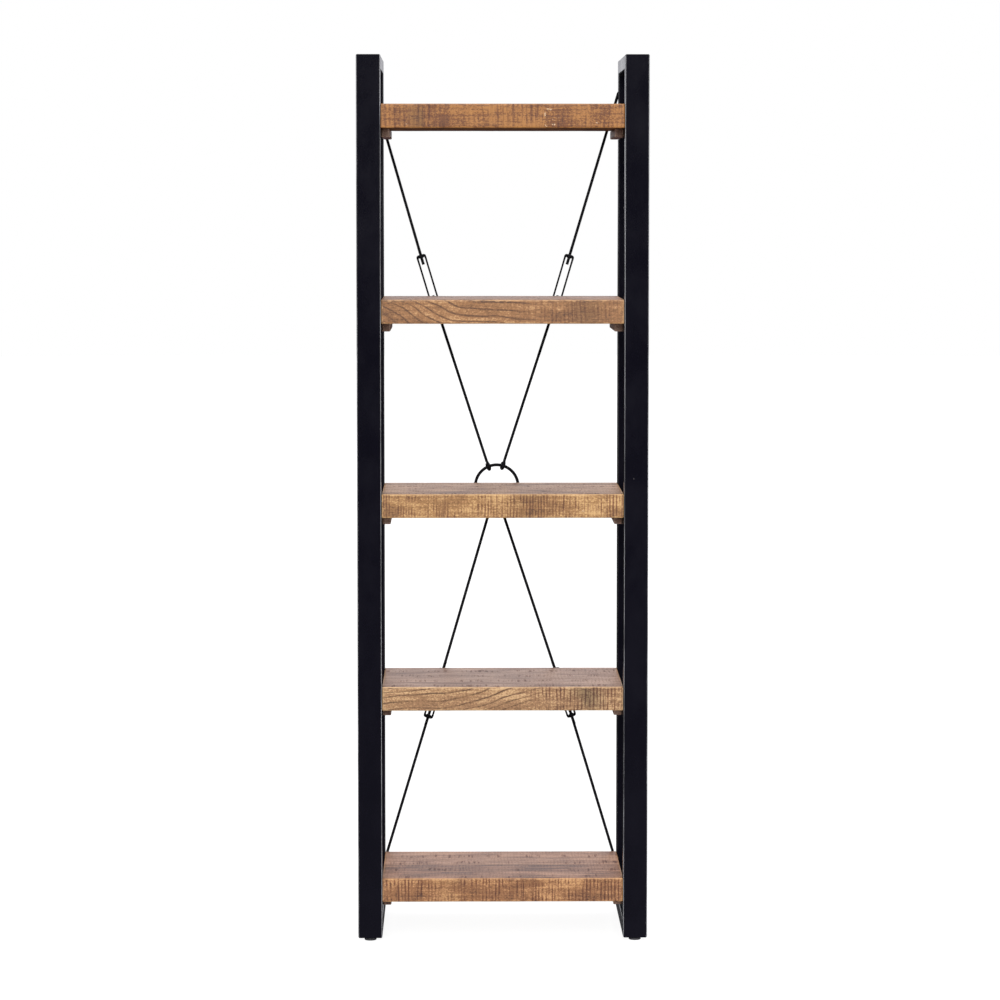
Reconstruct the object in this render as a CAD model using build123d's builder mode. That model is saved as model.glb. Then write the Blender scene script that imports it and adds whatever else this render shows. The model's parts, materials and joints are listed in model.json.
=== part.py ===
"""Free-standing bookcase: two steel side frames, five thick timber shelves and a rod brace behind.

Axes: +X to the right of a person facing the front, +Y to the back, +Z up. The front faces -Y.
Origin: on the floor, in the middle of the footprint. All sizes are in millimetres.
"""
from build123d import *
from math import acos, cos, degrees, radians, sin, sqrt
import os

os.makedirs("parts", exist_ok=True)

# ---------------------------------------------------------------- driving dimensions
WIDTH = 600  # over both side frames
DEPTH = 350
FRAME_HEIGHT = 1825  # steel only, without the feet
FOOT_HEIGHT = 6  # gap between the floor and the steel

TUBE_WIDE = 50  # box section, wide side seen from the front
TUBE_DEEP = 30
TUBE_WALL = 2
TUBE_CORNER = 3

SHELF_THICK = 50
SHELF_DEPTH = 320
SHELF_SETBACK = 3  # shelf front behind the front of the posts
SHELF_PITCH = 400
TOP_SHELF_DROP = 100  # top of the frame down to the top face of the top shelf
SHELF_EDGE = 1.5  # eased edges
END_GAP = 0.5  # between a loose shelf and the steel on every side

BATTEN = 18  # square strip glued under each shelf end
BATTEN_SETBACK = 62  # behind the shelf front
BATTEN_BACK_GAP = 8
BATTEN_EDGE = 2

BAR_RISE = 22  # how far a shelf bar stands above the underside of its shelf
BAR_THICK = 5  # bars welded between the posts, at the fixed shelves
HANGER_THICK = 3  # pressed hangers of the adjustable shelves
HANGER_TAB = 35  # how far the end tabs reach outwards

PIN_DROP = 6  # shoulder pin below the underside of the shelf
PIN_SHOULDER = 8
PIN_SLOT = 8.4
PIN_HEAD = 14
PIN_HEAD_TALL = 4
PIN_HEAD_TAPER = 6  # degrees
PIN_SOCKET = 5
PIN_SOCKET_DEEP = 3
PIN_THREAD = 5.9
PIN_THREAD_LONG = 12
PIN_NUT_BORE = 6.05
PIN_NUT_BODY = 9
PIN_NUT_LONG = 14
NUT_BULGE = 2  # how much wider a set rivet nut is behind the wall
NUT_BULGE_LONG = 2.5
ROW_PITCH = 64  # rows of pin nuts above and below each adjustable shelf
FIT_GAP = 0.05  # radial gap of fixed fits

SCREW = 5  # pan-head wood screws through the bars and hangers
SCREW_LONG = 20
SCREW_TIP = 3
SCREW_TIP_TAPER = 35  # degrees
SCREW_HEAD = 9.5
SCREW_HEAD_TALL = 3.2
SCREW_HEAD_TAPER = 20  # degrees
SCREW_HOLE = 5.6
BATTEN_SCREWS_Y = (-85, 15, 115)
BOARD_SCREWS_Y = (-115, 95)
BOARD_SCREW_RISE = 12

FOOT = 25
FOOT_PAD = 5
FOOT_PAD_BEVEL = 1
FOOT_PAD_ROUND = 1.5
FOOT_STUD = 7.9
FOOT_NUT_BORE = 8.05
FOOT_NUT_BODY = 11
FOOT_NUT_LONG = 17
FOOT_STUD_TOP = 26  # height of the stud's end above the floor

ROD = 6
ROD_BEND = 8  # centre-line radius of the hooked end
ROD_SLOT_WIDE = 7  # slots in the back posts that take the hooked ends
ROD_SLOT_TALL = 24
ROD_INSET = 1.5  # corner of the hooked end beyond the inner face of the post
ROD_TAIL = 14  # how far the hooked end reaches into the post
ROD_STUB = 19  # threaded end past the middle of its boss
RING_WIRE = 6.5
RING_RADIUS = 46  # centre line of the wire
RING_CENTRE = (-9, 922)
EYE_RADIUS = 7.4  # centre line of the rod's eye
EYE_NECK = 8  # centre-line radius where the shank leaves the eye
EYE_SLACK = 0.7  # eye centre outside the ring's centre line
EYE_WRAP = 282  # degrees of wire round the ring
EYE_TWIST = 18  # the eyes are a little turned about their rods

BODY_LONG = 113  # open turnbuckle body
BODY_WIDE = 21
BODY_BAR = 4
BODY_THICK = 5
BODY_CORNER = 4
BODY_WINDOW_CORNER = 3
BODY_EDGE = 1.2  # rounding of all the edges of the forging
BODY_BORE = 6.6
BOSS = 10
BOSS_LONG = 7

# Each brace, as (x, z) points in the plane of the rods: where the rod enters its post, the
# middles of the two turnbuckle bosses, and the clock angle of its eye on the ring.
BRACES = {
    "upper_left": ((-250, 1689), (-170.9, 1415.7), (-140.1, 1313.4), -22.8),
    "upper_right": ((250, 1761), (146.6, 1415.7), (116.6, 1313.4), 16.2),
    "lower_left": ((-250, 115), (-157.2, 422.6), (-124.8, 525.0), 196.3),
    "lower_right": ((250, 103), (152.9, 424.6), (116.9, 525.6), 168.4),
}

# ---------------------------------------------------------------- places worked out from them
SIDES = {"left": -1, "right": 1}
ENDS = {"front": -1, "back": 1}
FRAME_TOP = FOOT_HEIGHT + FRAME_HEIGHT
POST_X = WIDTH / 2 - TUBE_WIDE / 2
POST_Y = DEPTH / 2 - TUBE_DEEP / 2
INNER_X = WIDTH / 2 - TUBE_WIDE  # inner faces of the side frames
FACING_Y = DEPTH / 2 - TUBE_DEEP  # faces of the posts that look at each other
ROD_Y = POST_Y  # the brace lies in the depth of the back posts

SHELF_NAMES = ("bottom", "lower", "middle", "upper", "top")
ADJUSTABLE = ("lower", "middle", "upper")
TOP_UNDERSIDE = FRAME_TOP - TOP_SHELF_DROP - SHELF_THICK
UNDERSIDES = {
    name: TOP_UNDERSIDE - SHELF_PITCH * (len(SHELF_NAMES) - 1 - place)
    for place, name in enumerate(SHELF_NAMES)
}
SHELF_FRONT = -DEPTH / 2 + SHELF_SETBACK
SHELF_BACK = SHELF_FRONT + SHELF_DEPTH
BATTEN_FRONT = SHELF_FRONT + BATTEN_SETBACK
BATTEN_BACK = SHELF_BACK - BATTEN_BACK_GAP


def save(builder, name):
    """Label a finished piece and write its file."""
    builder.part.label = name
    export_step(builder.part, f"parts/{name}.step")


def tube_section():
    """Box section profile, centred where it is placed."""
    RectangleRounded(TUBE_WIDE, TUBE_DEEP, TUBE_CORNER)
    RectangleRounded(
        TUBE_WIDE - 2 * TUBE_WALL,
        TUBE_DEEP - 2 * TUBE_WALL,
        TUBE_CORNER - TUBE_WALL,
        mode=Mode.SUBTRACT,
    )


def mitre(end, height, upwards):
    """45 degree plane through a corner of a side frame, its normal on the rail's side."""
    return Plane(origin=(0, end * DEPTH / 2, height), z_dir=(0, -end, -upwards))


def facing_plane(side, end):
    """Plane on the post face that looks at the other post, with local x as height."""
    return Plane(
        origin=(side * POST_X, end * FACING_Y, 0), x_dir=(0, 0, 1), z_dir=(0, -end, 0)
    )


def inner_plane(side, y, x=INNER_X):
    """Upright plane that looks at the middle of the bookcase, with local x as height."""
    return Plane(origin=(side * x, y, 0), x_dir=(0, 0, 1), z_dir=(-side, 0, 0))


def pin_height(name):
    return UNDERSIDES[name] - PIN_DROP


def pin_nut_heights():
    """Every row of pin nuts: one at each adjustable shelf, one above and one below."""
    return [pin_height(name) + row * ROW_PITCH for name in ADJUSTABLE for row in (-1, 0, 1)]


def brace_anchors(side):
    """Heights at which rods enter the back post of one side."""
    return [anchor[1] for anchor, near, far, clock in BRACES.values() if anchor[0] * side > 0]


# ---------------------------------------------------------------- side frames
for side_name, side in SIDES.items():
    for end_name, end in ENDS.items():
        with BuildPart() as post:
            with BuildSketch(Plane.XY.offset(FOOT_HEIGHT)):
                with Locations((side * POST_X, end * POST_Y)):
                    tube_section()
            extrude(amount=FRAME_HEIGHT)
            split(bisect_by=mitre(end, FOOT_HEIGHT, 1), keep=Keep.BOTTOM)
            split(bisect_by=mitre(end, FRAME_TOP, -1), keep=Keep.BOTTOM)
            with BuildSketch(facing_plane(side, end)):
                with Locations([(height, 0) for height in pin_nut_heights()]):
                    Circle(PIN_NUT_BODY / 2 + FIT_GAP)
            extrude(amount=-TUBE_WALL, mode=Mode.SUBTRACT)
            if end_name == "back":
                with BuildSketch(inner_plane(side, ROD_Y)):
                    with Locations([(height, 0) for height in brace_anchors(side)]):
                        SlotOverall(ROD_SLOT_TALL, ROD_SLOT_WIDE)
                extrude(amount=-TUBE_WALL, mode=Mode.SUBTRACT)
        save(post, f"{side_name}_{end_name}_post")

    for level_name, level, upwards in (("bottom", FOOT_HEIGHT, 1), ("top", FRAME_TOP, -1)):
        with BuildPart() as rail:
            with BuildSketch(Plane.XZ.offset(-DEPTH / 2)):
                with Locations((side * POST_X, level + upwards * TUBE_DEEP / 2)):
                    tube_section()
            extrude(amount=DEPTH)
            for end in ENDS.values():
                split(bisect_by=mitre(end, level, upwards), keep=Keep.TOP)
            if level_name == "bottom":
                with BuildSketch(Plane.XY.offset(FOOT_HEIGHT)):
                    with Locations((side * POST_X, -POST_Y), (side * POST_X, POST_Y)):
                        Circle(FOOT_NUT_BODY / 2 + FIT_GAP)
                extrude(amount=TUBE_WALL, mode=Mode.SUBTRACT)
        save(rail, f"{side_name}_{level_name}_rail")

# ---------------------------------------------------------------- feet and their rivet nuts
FOOT_PLACES = [(side * POST_X, end * POST_Y) for side in SIDES.values() for end in ENDS.values()]

with BuildPart() as foot_nuts:
    with BuildSketch(Plane.XY.offset(FOOT_HEIGHT)):
        with Locations(FOOT_PLACES):
            Circle(FOOT_NUT_BODY / 2)
    extrude(amount=FOOT_NUT_LONG)
    with BuildSketch(Plane.XY.offset(FOOT_HEIGHT + TUBE_WALL + FIT_GAP)):
        with Locations(FOOT_PLACES):
            Circle(FOOT_NUT_BODY / 2 + NUT_BULGE / 2)
    extrude(amount=NUT_BULGE_LONG)
    with BuildSketch(Plane.XY.offset(FOOT_HEIGHT)):
        with Locations(FOOT_PLACES):
            Circle(FOOT_NUT_BORE / 2)
    extrude(amount=FOOT_NUT_LONG, mode=Mode.SUBTRACT)
save(foot_nuts, "foot_nuts")

for side_name, side in SIDES.items():
    for end_name, end in ENDS.items():
        with BuildPart() as foot:
            with BuildSketch():
                with Locations((side * POST_X, end * POST_Y)):
                    Circle(FOOT / 2)
            extrude(amount=FOOT_PAD)
            chamfer(foot.faces().sort_by(Axis.Z)[0].edges(), FOOT_PAD_BEVEL)
            fillet(foot.faces().sort_by(Axis.Z)[-1].edges(), FOOT_PAD_ROUND)
            with BuildSketch(Plane.XY.offset(FOOT_PAD)):
                with Locations((side * POST_X, end * POST_Y)):
                    Circle(FOOT_STUD / 2)
            extrude(amount=FOOT_STUD_TOP - FOOT_PAD)
        save(foot, f"{side_name}_{end_name}_foot")

# ---------------------------------------------------------------- pins of the adjustable shelves
with BuildPart() as pin_nuts:
    for side in SIDES.values():
        for end in ENDS.values():
            face = facing_plane(side, end)
            spots = [(height, 0) for height in pin_nut_heights()]
            with BuildSketch(face):
                with Locations(spots):
                    Circle(PIN_NUT_BODY / 2)
            extrude(amount=-PIN_NUT_LONG)
            with BuildSketch(face.offset(-TUBE_WALL - FIT_GAP)):
                with Locations(spots):
                    Circle(PIN_NUT_BODY / 2 + NUT_BULGE / 2)
            extrude(amount=-NUT_BULGE_LONG)
            with BuildSketch(face):
                with Locations(spots):
                    Circle(PIN_NUT_BORE / 2)
            extrude(amount=-PIN_NUT_LONG, mode=Mode.SUBTRACT)
save(pin_nuts, "shelf_pin_nuts")

HEAD_START = END_GAP + HANGER_THICK + END_GAP  # from the post face to the underside of a head
with BuildPart() as pins:
    for side in SIDES.values():
        for end in ENDS.values():
            face = facing_plane(side, end)
            spots = [(pin_height(name), 0) for name in ADJUSTABLE]
            with BuildSketch(face.offset(-PIN_THREAD_LONG)):
                with Locations(spots):
                    Circle(PIN_THREAD / 2)
            extrude(amount=PIN_THREAD_LONG)
            with BuildSketch(face):
                with Locations(spots):
                    Circle(PIN_SHOULDER / 2)
            extrude(amount=HEAD_START)
            with BuildSketch(face.offset(HEAD_START)):
                with Locations(spots):
                    Circle(PIN_HEAD / 2)
            extrude(amount=PIN_HEAD_TALL, taper=PIN_HEAD_TAPER)
            with BuildSketch(face.offset(HEAD_START + PIN_HEAD_TALL)):
                with Locations(spots):
                    RegularPolygon(PIN_SOCKET / 2, 6, major_radius=False)
            extrude(amount=-PIN_SOCKET_DEEP, mode=Mode.SUBTRACT)
save(pins, "shelf_pins")


# ---------------------------------------------------------------- shelves
def screw_spots(underside):
    """(height, y) of the screws at one end of a shelf: into the batten, then into the board."""
    low = [(underside - BATTEN / 2, y) for y in BATTEN_SCREWS_Y]
    return low + [(underside + BOARD_SCREW_RISE, y) for y in BOARD_SCREWS_Y]


for name in SHELF_NAMES:
    underside = UNDERSIDES[name]
    loose = name in ADJUSTABLE
    end_x = INNER_X - (END_GAP if loose else 0)  # end face of the board and of its battens
    steel = HANGER_THICK if loose else BAR_THICK
    spots = screw_spots(underside)

    with BuildPart() as board:
        with BuildSketch(Plane.XY.offset(underside)):
            with Locations((0, (SHELF_FRONT + SHELF_BACK) / 2)):
                Rectangle(2 * end_x, SHELF_DEPTH)
        extrude(amount=SHELF_THICK)
        chamfer(board.edges(), SHELF_EDGE)
        for side in SIDES.values():
            for height, y in spots:
                if height > underside:
                    with BuildSketch(inner_plane(side, y, end_x)):
                        with Locations((height, 0)):
                            Circle(SCREW / 2 + FIT_GAP)
                    extrude(amount=SCREW_LONG, mode=Mode.SUBTRACT)
    save(board, f"{name}_shelf")

    for side_name, side in SIDES.items():
        with BuildPart() as batten:
            with BuildSketch(Plane.XZ.offset(-BATTEN_FRONT)):
                with Locations((side * (end_x - BATTEN / 2), underside - BATTEN / 2)):
                    Rectangle(BATTEN, BATTEN)
            extrude(amount=BATTEN_FRONT - BATTEN_BACK)
            lower = batten.edges().filter_by(Axis.Y).group_by(Axis.Z)[0]
            fillet(lower, BATTEN_EDGE)
            for height, y in spots:
                if height < underside:
                    with BuildSketch(inner_plane(side, y, end_x)):
                        with Locations((height, 0)):
                            Circle(SCREW / 2 + FIT_GAP)
                    extrude(amount=SCREW_LONG - steel + FIT_GAP, mode=Mode.SUBTRACT)
        save(batten, f"{name}_{side_name}_batten")

        bar_long = FACING_Y - (END_GAP if loose else 0)
        low, high = underside - BATTEN, underside + BAR_RISE
        with BuildPart() as bar:
            with BuildSketch(inner_plane(side, 0, end_x)):
                with Locations(((low + high) / 2, 0)):
                    Rectangle(high - low, 2 * bar_long)
            extrude(amount=-steel)
            if loose:
                for end in ENDS.values():
                    tab = Plane(
                        origin=(0, end * bar_long, 0), x_dir=(side, 0, 0), z_dir=(0, -end, 0)
                    )
                    up = 1 if tab.y_dir.Z > 0 else -1
                    with BuildSketch(tab):
                        with Locations((end_x + HANGER_TAB / 2, up * (low + high) / 2)):
                            Rectangle(HANGER_TAB, high - low)
                        with Locations((POST_X, up * pin_height(name))):
                            Circle(PIN_SLOT / 2, mode=Mode.SUBTRACT)
                        with Locations((POST_X, up * (pin_height(name) + low) / 2)):
                            Rectangle(PIN_SLOT, pin_height(name) - low, mode=Mode.SUBTRACT)
                    extrude(amount=steel)
            for height, y in spots:
                with BuildSketch(inner_plane(side, y, end_x)):
                    with Locations((height, 0)):
                        Circle(SCREW_HOLE / 2)
                extrude(amount=-steel, mode=Mode.SUBTRACT)
        kind = "hanger" if loose else "bar"
        save(bar, f"{name}_{side_name}_{kind}")

    with BuildPart() as screws:
        for side in SIDES.values():
            for height, y in spots:
                seat = inner_plane(side, y, end_x + steel)
                with BuildSketch(seat):
                    with Locations((height, 0)):
                        Circle(SCREW / 2)
                extrude(amount=SCREW_LONG - SCREW_TIP)
                with BuildSketch(seat.offset(SCREW_LONG - SCREW_TIP)):
                    with Locations((height, 0)):
                        Circle(SCREW / 2)
                extrude(amount=SCREW_TIP, taper=SCREW_TIP_TAPER)
                with BuildSketch(seat):
                    with Locations((height, 0)):
                        Circle(SCREW_HEAD / 2)
                extrude(amount=-SCREW_HEAD_TALL, taper=SCREW_HEAD_TAPER)
    save(screws, f"{name}_screws")


# ---------------------------------------------------------------- rod brace
def point(place):
    """Point of the brace in space, from its (x, z) place."""
    return Vector(place[0], ROD_Y, place[1])


def eye_place(clock):
    """Centre of an eye, hung on the ring at a clock angle."""
    reach = RING_RADIUS + EYE_SLACK
    return (
        RING_CENTRE[0] + reach * sin(radians(clock)),
        RING_CENTRE[1] + reach * cos(radians(clock)),
    )


ring_centre = point(RING_CENTRE)
with BuildPart() as ring:
    with BuildSketch(Plane(origin=ring_centre)):
        with Locations((RING_RADIUS, 0)):
            Circle(RING_WIRE / 2)
    revolve(axis=Axis(ring_centre, (0, 1, 0)))
save(ring, "brace_ring")

for name, (anchor, near, far, clock) in BRACES.items():
    post_side = 1 if anchor[0] > 0 else -1
    run = (point(near) - point(anchor)).normalized()
    corner = point(anchor) - run * (ROD_INSET / abs(run.X))

    # Rod on the post: threaded end in the turnbuckle, long shank, hooked end inside the post.
    with BuildPart() as post_rod:
        with BuildLine():
            tail = Vector(post_side * (INNER_X + ROD_TAIL), ROD_Y, corner.Z)
            FilletPolyline(tail, corner, point(near) + run * ROD_STUB, radius=ROD_BEND)
        with BuildSketch(Plane(origin=tail, z_dir=(-post_side, 0, 0))):
            Circle(ROD / 2)
        sweep()
    save(post_rod, f"{name}_post_rod")

    # Rod on the ring: threaded end in the turnbuckle, shank, eye closed round the ring.
    eye = point(eye_place(clock))
    along = (point(far) - eye).normalized()
    across = Vector(0, 1, 0).rotate(Axis(eye, along), EYE_TWIST)
    eye_plane = Plane(origin=eye, x_dir=along, z_dir=along.cross(across))
    neck = sqrt(EYE_RADIUS**2 + 2 * EYE_RADIUS * EYE_NECK)
    turn = degrees(acos(EYE_NECK / (EYE_RADIUS + EYE_NECK)))
    length = (point(far) - eye).length + ROD_STUB
    with BuildPart() as ring_rod:
        with BuildLine(eye_plane):
            shank = Line((length, 0), (neck, 0))
            reverse = JernArc(shank @ 1, shank % 1, EYE_NECK, turn)
            JernArc(reverse @ 1, reverse % 1, EYE_RADIUS, -EYE_WRAP)
        with BuildSketch(Plane(origin=eye + along * length, z_dir=along * -1)):
            Circle(ROD / 2)
        sweep()
    save(ring_rod, f"{name}_ring_rod")

    # Turnbuckle: open body with a threaded boss at each end.
    axis_dir = (point(far) - point(near)).normalized()
    middle = (point(far) + point(near)) * 0.5
    body_plane = Plane(origin=middle, x_dir=axis_dir, z_dir=(0, -1, 0))
    with BuildPart() as body:
        with BuildSketch(body_plane.offset(-BODY_THICK / 2)):
            RectangleRounded(BODY_LONG, BODY_WIDE, BODY_CORNER)
            RectangleRounded(
                BODY_LONG - 2 * BOSS_LONG,
                BODY_WIDE - 2 * BODY_BAR,
                BODY_WINDOW_CORNER,
                mode=Mode.SUBTRACT,
            )
        extrude(amount=BODY_THICK)
        fillet(body.faces().filter_by(Axis.Y).edges(), BODY_EDGE)
        for direction in (-1, 1):
            outer = middle + axis_dir * (direction * BODY_LONG / 2)
            with BuildSketch(Plane(origin=outer, z_dir=axis_dir * -direction)):
                Circle(BOSS / 2)
            extrude(amount=BOSS_LONG)
        with BuildSketch(Plane(origin=middle - axis_dir * BODY_LONG / 2, z_dir=axis_dir)):
            Circle(BODY_BORE / 2)
        extrude(amount=BODY_LONG, mode=Mode.SUBTRACT)
    save(body, f"{name}_turnbuckle")
    print(f"{name}: turnbuckle axis {axis_dir}, middle {middle}")
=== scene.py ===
# %% [markdown]
# # A tall bookcase of rough-sawn timber and black steel
#
# The engineering model is the fixed frame of this lesson: two welded side frames, five thick boards
# and a brace of rods behind them. Everything made here sits on it and moves with it. The steel tubes,
# pins, nuts and rods already have their true shapes, so they only get better finishes. The boards,
# battens, turnbuckles and screws are made again with the detail that a maker would see up close.

# %% Load the frame
import bmesh
import bpy
import json
import math
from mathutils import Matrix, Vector


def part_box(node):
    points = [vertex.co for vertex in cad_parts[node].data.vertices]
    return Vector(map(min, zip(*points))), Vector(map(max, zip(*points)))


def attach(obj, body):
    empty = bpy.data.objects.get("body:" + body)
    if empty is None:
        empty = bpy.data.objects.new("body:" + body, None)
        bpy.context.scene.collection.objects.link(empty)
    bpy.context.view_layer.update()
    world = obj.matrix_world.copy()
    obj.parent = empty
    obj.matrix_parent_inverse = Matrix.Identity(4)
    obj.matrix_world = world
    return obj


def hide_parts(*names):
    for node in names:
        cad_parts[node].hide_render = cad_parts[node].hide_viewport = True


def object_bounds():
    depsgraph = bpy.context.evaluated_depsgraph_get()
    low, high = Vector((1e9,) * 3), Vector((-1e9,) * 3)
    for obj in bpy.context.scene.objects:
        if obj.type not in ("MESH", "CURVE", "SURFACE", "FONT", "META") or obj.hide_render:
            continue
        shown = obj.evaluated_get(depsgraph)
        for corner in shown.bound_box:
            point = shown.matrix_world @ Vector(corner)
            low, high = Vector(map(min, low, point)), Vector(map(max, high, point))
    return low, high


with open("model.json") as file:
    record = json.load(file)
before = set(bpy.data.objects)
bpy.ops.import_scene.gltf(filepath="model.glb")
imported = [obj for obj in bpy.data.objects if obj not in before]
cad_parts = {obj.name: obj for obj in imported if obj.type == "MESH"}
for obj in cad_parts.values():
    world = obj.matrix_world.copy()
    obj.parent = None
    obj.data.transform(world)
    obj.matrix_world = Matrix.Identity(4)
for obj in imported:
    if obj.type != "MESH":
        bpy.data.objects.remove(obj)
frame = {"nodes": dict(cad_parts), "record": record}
CAD_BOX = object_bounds()
scene = bpy.context.scene
scene.view_settings.view_transform = "Standard"
SHELVES = ("bottom", "lower", "middle", "upper", "top")
LOOSE = ("lower", "middle", "upper")
SIDES = ("left", "right")
BRACES = ("upper_left", "upper_right", "lower_left", "lower_right")
print("frame:", len(frame["nodes"]), "nodes, box", [round(v, 4) for v in CAD_BOX[1] - CAD_BOX[0]])

# %% [markdown]
# ## Where the viewer stands
#
# A tall piece of furniture is seen from far away with a long lens, so its uprights stay almost
# parallel. The camera stands a little left of the middle at chest to eye height, so the tops of the
# lower boards show and the top board hides its own top. Tilting the camera frames the piece; the lens
# isn't shifted, because other views of the same scene would keep that shift.

# %% Camera
CAMERA_AT = (-0.0916, -7.7055, 1.5204)
CAMERA_TILT = -0.0797  # radians, downwards
CAMERA_TURN = 0.0114  # radians, to the right
CAMERA_LENS = 132.11

camera_data = bpy.data.cameras.new("camera")
camera_data.lens = CAMERA_LENS
camera_data.sensor_width = 36
camera_data.clip_end = 100
camera = bpy.data.objects.new("camera", camera_data)
camera.location = CAMERA_AT
camera.rotation_euler = (math.pi / 2 + CAMERA_TILT, 0, -CAMERA_TURN)
scene.collection.objects.link(camera)
scene.camera = camera
print("camera:", CAMERA_LENS, "mm lens")

# %% [markdown]
# ## A small bench for node trees
#
# Finishes and Geometry Nodes are both graphs of nodes. These helpers lay nodes out in the order of
# the work: each call adds one node and gives back the socket that the next one reads. Writing
# `bench.math("ADD", a, b)` is much easier to follow than a page of links.


# %% Bench
class Bench:
    """Adds nodes to one tree, and joins them as it goes."""

    def __init__(self, tree):
        self.tree = tree

    def put(self, socket, value):
        if isinstance(value, bpy.types.NodeSocket):
            self.tree.links.new(value, socket)
        else:
            socket.default_value = value

    def node(self, kind, inputs=None, **settings):
        made = self.tree.nodes.new(kind)
        for key, value in settings.items():
            setattr(made, key, value)
        for key, value in (inputs or {}).items():
            self.put(made.inputs[key], value)
        return made

    def math(self, operation, a, b=0.0, c=0.0):
        return self.node("ShaderNodeMath", {0: a, 1: b, 2: c}, operation=operation).outputs[0]

    def vector(self, operation, a, b=(0, 0, 0)):
        made = self.node("ShaderNodeVectorMath", {0: a, 1: b}, operation=operation)
        return made.outputs["Value" if operation == "LENGTH" else "Vector"]

    def split(self, vector):
        return self.node("ShaderNodeSeparateXYZ", {0: vector}).outputs

    def merge(self, x, y, z):
        return self.node("ShaderNodeCombineXYZ", {0: x, 1: y, 2: z}).outputs[0]

    def noise(self, vector, detail=3.0, rough=0.55, seed=0.0):
        made = self.node("ShaderNodeTexNoise", noise_dimensions="4D")
        for key, value in (("Vector", vector), ("W", seed), ("Detail", detail), ("Roughness", rough)):
            self.put(made.inputs[key], value)
        made.inputs["Scale"].default_value = 1.0
        return made.outputs[0]

    def ramp(self, value, low, high, to_low=0.0, to_high=1.0):
        made = self.node("ShaderNodeMapRange", interpolation_type="SMOOTHSTEP")
        for key, number in ((0, value), (1, low), (2, high), (3, to_low), (4, to_high)):
            self.put(made.inputs[key], number)
        return made.outputs[0]

    def blend(self, factor, a, b, mode="MIX"):
        made = self.node("ShaderNodeMix", data_type="RGBA", blend_type=mode)
        self.put(made.inputs[0], factor)
        self.put(made.inputs[6], a)
        self.put(made.inputs[7], b)
        return made.outputs[2]


def new_tree(kind, name, takes, gives):
    """A node group with named inputs and outputs, and a bench on it."""
    tree = bpy.data.node_groups.new(name, kind)
    for way, sockets in (("INPUT", takes), ("OUTPUT", gives)):
        for label, socket_type in sockets:
            tree.interface.new_socket(label, in_out=way, socket_type=socket_type)
    bench = Bench(tree)
    return tree, bench, bench.node("NodeGroupInput").outputs, bench.node("NodeGroupOutput")


def new_finish(name):
    """An empty material, its bench and its surface shader."""
    finish = bpy.data.materials.new(name)
    finish.use_nodes = True
    bench = Bench(finish.node_tree)
    return finish, bench, finish.node_tree.nodes["Principled BSDF"]


FLOAT, VECTOR, COLOUR = "NodeSocketFloat", "NodeSocketVector", "NodeSocketColor"
SHAPE, FINISH, COUNT = "NodeSocketGeometry", "NodeSocketMaterial", "NodeSocketInt"

# %% [markdown]
# ## Studio
#
# The piece stands in a white room. A very soft sun from in front lights the boards' fronts, two low
# ones from the left and right reach in under the boards and past the posts, and one from almost
# straight above lights the tops and the floor. A sun is as bright far away as it is close by, so the floor
# stays evenly pale in every view.
#
# The room that gloss reflects is bright behind the piece and dim in front of it, with a small window
# on each side for the arrises. That keeps black paint black, and puts a pale sheen on any surface
# seen at a low angle. The floor takes shadows but throws no light back up, so the undersides stay
# deep. A white dome that only the camera sees closes the picture.

# %% Room and lights
world = bpy.data.worlds.new("room")
scene.world = world
world.use_nodes = True
room = Bench(world.node_tree)
ray = room.node("ShaderNodeTexCoord").outputs["Generated"]
look = room.split(ray)
behind = room.ramp(look[1], -0.15, 0.45, 0.07, 1.0)
above = room.ramp(look[2], -0.02, 0.02, 0.02, 1.0)
below = room.ramp(look[2], -0.12, -0.22, 0.0, 0.10)
room_light = room.math("MULTIPLY", behind, room.math("ADD", above, below))
near_floor = room.ramp(look[2], -0.08, -0.22, 0.0, 0.50)
near_floor = room.math("MULTIPLY", near_floor, room.ramp(look[1], 0.0, -0.3))
room_light = room.math("ADD", room_light, near_floor)
WINDOW_STRENGTH = 5.0
for hand in (-1, 1):
    towards = (0.94 * hand, -0.34, 0.0)
    window = room.node("ShaderNodeVectorMath", {0: ray, 1: towards}, operation="DOT_PRODUCT")
    window = room.ramp(window.outputs["Value"], 0.970, 0.985, 0.0, WINDOW_STRENGTH)
    room_light = room.math("ADD", room_light, window)
room.put(world.node_tree.nodes["Background"].inputs["Strength"], room_light)
world.node_tree.nodes["Background"].inputs["Color"].default_value = (0.95, 0.95, 1.0, 1)

SUNS = (
    # name, strength, spread in radians, tilt from straight down and turn in degrees
    ("front_light", 2.2, 0.65, 62, -4),
    ("low_left_light", 0.75, 0.45, 80, -31),
    ("low_right_light", 1.0, 0.45, 80, 34),
    ("overhead_light", 2.2, 1.2, 6, 0),
)
for name, strength, spread, tilt, turn in SUNS:
    sun = bpy.data.lights.new(name, "SUN")
    sun.energy = strength
    sun.angle = spread
    lamp = bpy.data.objects.new(name, sun)
    lamp.rotation_euler = (math.radians(tilt), 0, math.radians(turn))
    lamp.location = (0, -3, 4)
    scene.collection.objects.link(lamp)
print("lights:", ", ".join(sun[0] for sun in SUNS))

# %% Floor and dome
FLOOR_SIZE = 60


def flat_disc(name, radius, corners=96):
    mesh = bpy.data.meshes.new(name)
    shape = bmesh.new()
    bmesh.ops.create_circle(shape, cap_ends=True, segments=corners, radius=radius)
    shape.to_mesh(mesh)
    shape.free()
    made = bpy.data.objects.new(name, mesh)
    scene.collection.objects.link(made)
    return made


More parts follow.
